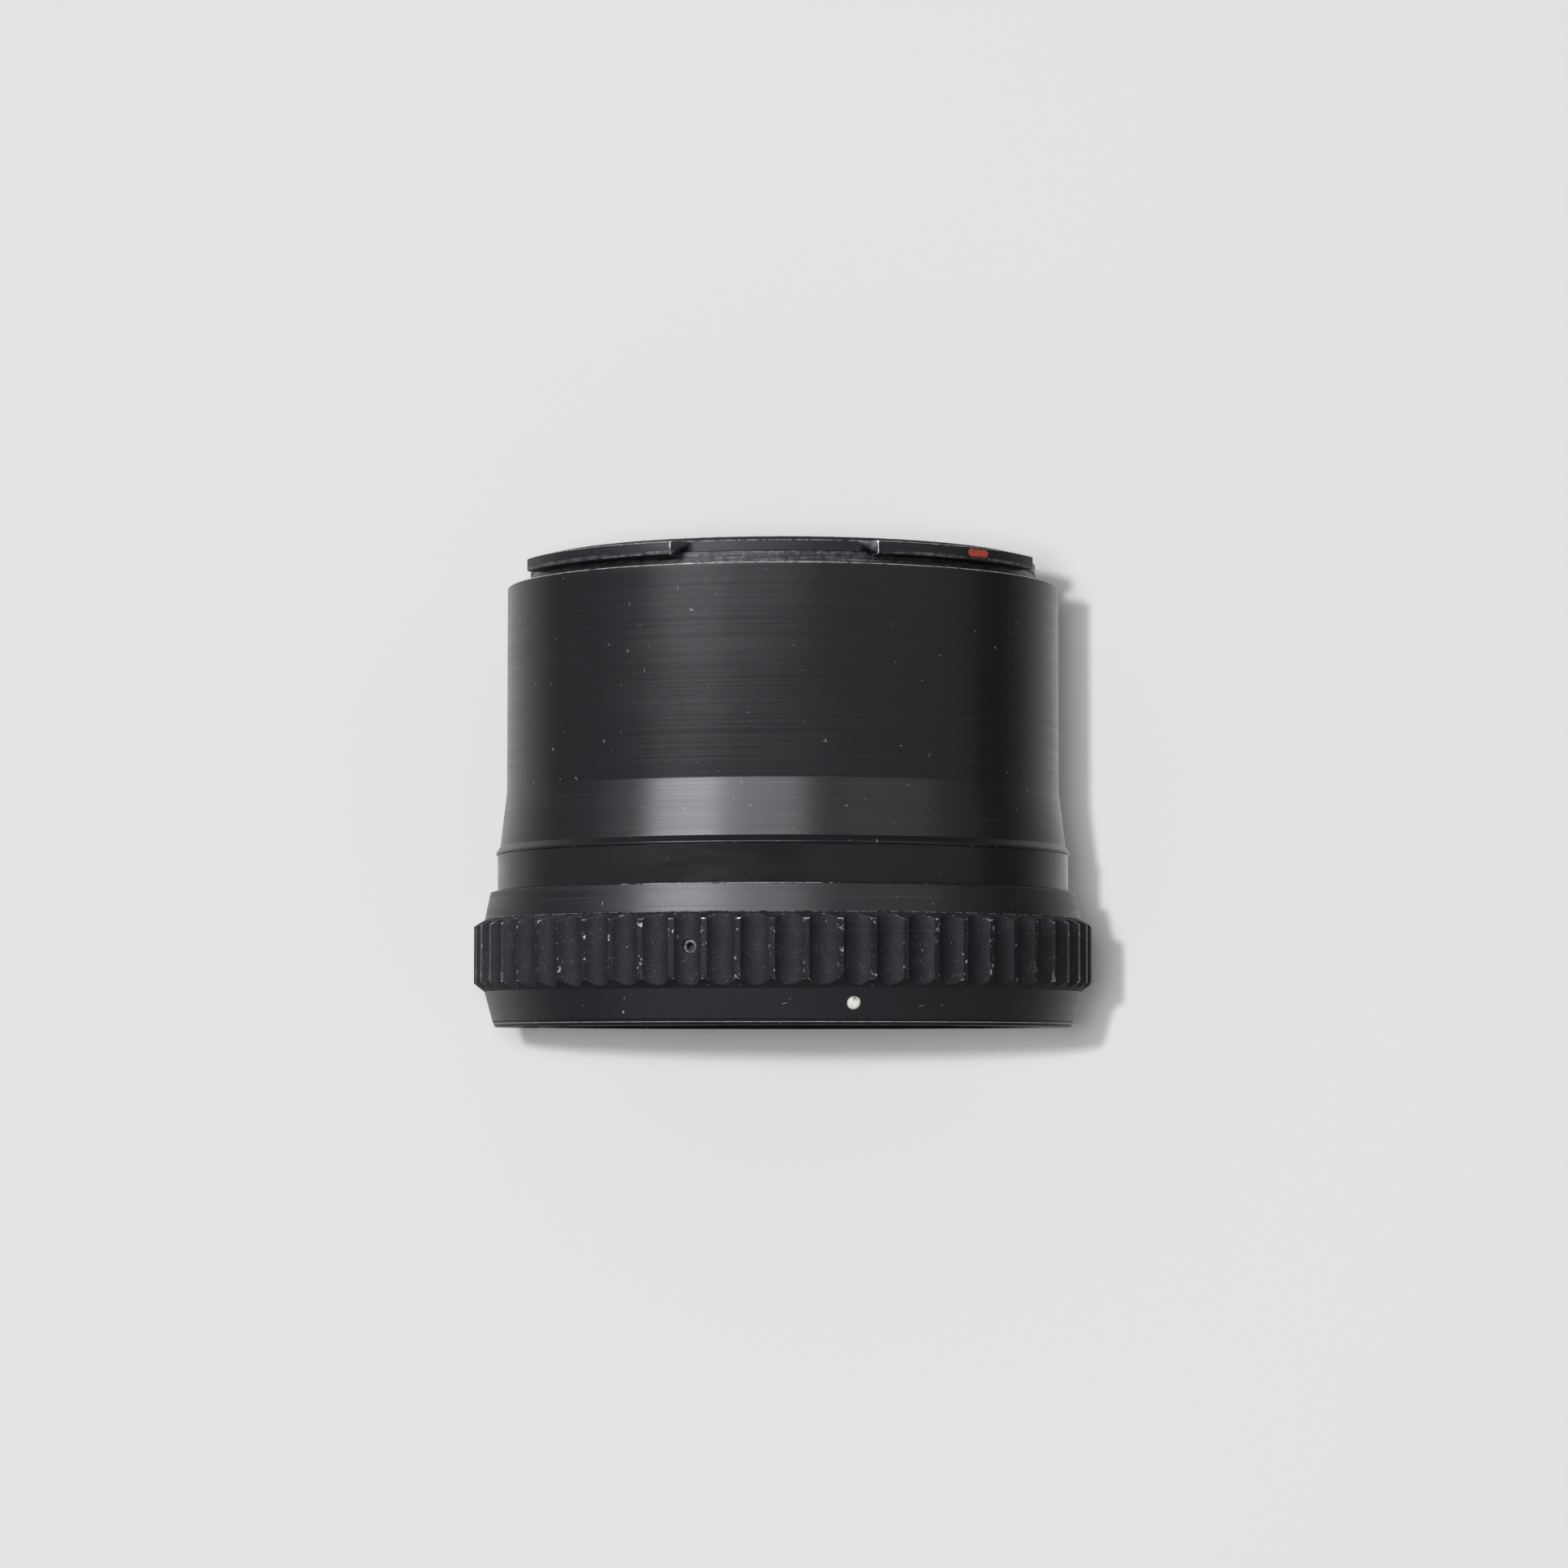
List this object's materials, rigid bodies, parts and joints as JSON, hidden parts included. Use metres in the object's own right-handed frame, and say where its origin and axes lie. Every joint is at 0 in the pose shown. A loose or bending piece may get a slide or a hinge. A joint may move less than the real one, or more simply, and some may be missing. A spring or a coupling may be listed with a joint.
{
  "type": "macro extension tube",
  "caption": "Black macro extension tube for a medium-format camera, with a lugged bayonet at one end, a fluted ring at the other and a drive shaft inside.",
  "frame": {"origin": "centre of the lens-side rim, on the face that the lens seats on", "axes": "+Z along the optical axis towards the camera, -Y towards the side that carries the index dot"},
  "size_m": [0.0774, 0.0774, 0.0584],
  "materials": {
    "barrel_black": "black anodised, satin, finely turned",
    "housing_black": "black anodised, satin",
    "grip_black": "black anodised, matte in the flutes, worn ridges",
    "band_gloss": "gloss black enamel",
    "bayonet_black": "black, worn bright along the edges",
    "plate_black": "matte black",
    "cover_black": "matte black",
    "black_screw": "blackened steel",
    "mount_steel": "black chromed, worn where the lens turns",
    "paint_white": "cream paint",
    "paint_red": "orange-red paint",
    "screw_steel": "bright steel",
    "shaft_steel": "ground",
    "coupling_steel": "turned",
    "spring_steel": "spring steel",
    "bush_brass": "turned",
    "button_chrome": "satin chrome"
  },
  "bodies": {
    "tube": {"main_barrel": "barrel_black", "front_housing": "housing_black", "grip_ring": "grip_black", "grip_set_screws": "screw_steel", "name_band": "band_gloss", "white_index_dot": "paint_white", "rear_bayonet": "bayonet_black", "red_index_mark": "paint_red", "rear_plate": "plate_black", "rear_plate_screws": "black_screw", "front_bayonet": "mount_steel", "front_bayonet_screws": "screw_steel", "bayonet_springs": "spring_steel", "bayonet_stop_pin": "shaft_steel", "front_plate": "plate_black", "front_plate_screws": "black_screw", "rear_bush": "bush_brass", "front_bush": "bush_brass", "shaft_cover": "cover_black", "shaft_cover_screws": "black_screw", "catch_spring": "spring_steel"},
    "drive_train": {"drive_shaft": "shaft_steel", "rear_coupling": "coupling_steel", "front_coupling": "coupling_steel", "coupling_pins": "shaft_steel", "shaft_clips": "spring_steel"},
    "lens_catch": {"catch_block": "bush_brass", "lock_pin": "shaft_steel", "release_button": "button_chrome", "release_button_screw": "screw_steel"}
  },
  "joints": [
    {"name": "drive_turn", "type": "hinge", "parent": "tube", "child": "drive_train", "pos_m": [-0.0058, 0.02493, 0.03], "axis": [0, 0, 1], "range_deg": [0, 288]},
    {"name": "lens_catch_slide", "type": "slide", "parent": "tube", "child": "lens_catch", "axis": [0, 0, 1], "range_m": [0, 0.0022], "stiffness_N_per_m": 400, "springref_m": -0.002, "deforming": ["catch_spring"]}
  ]
}
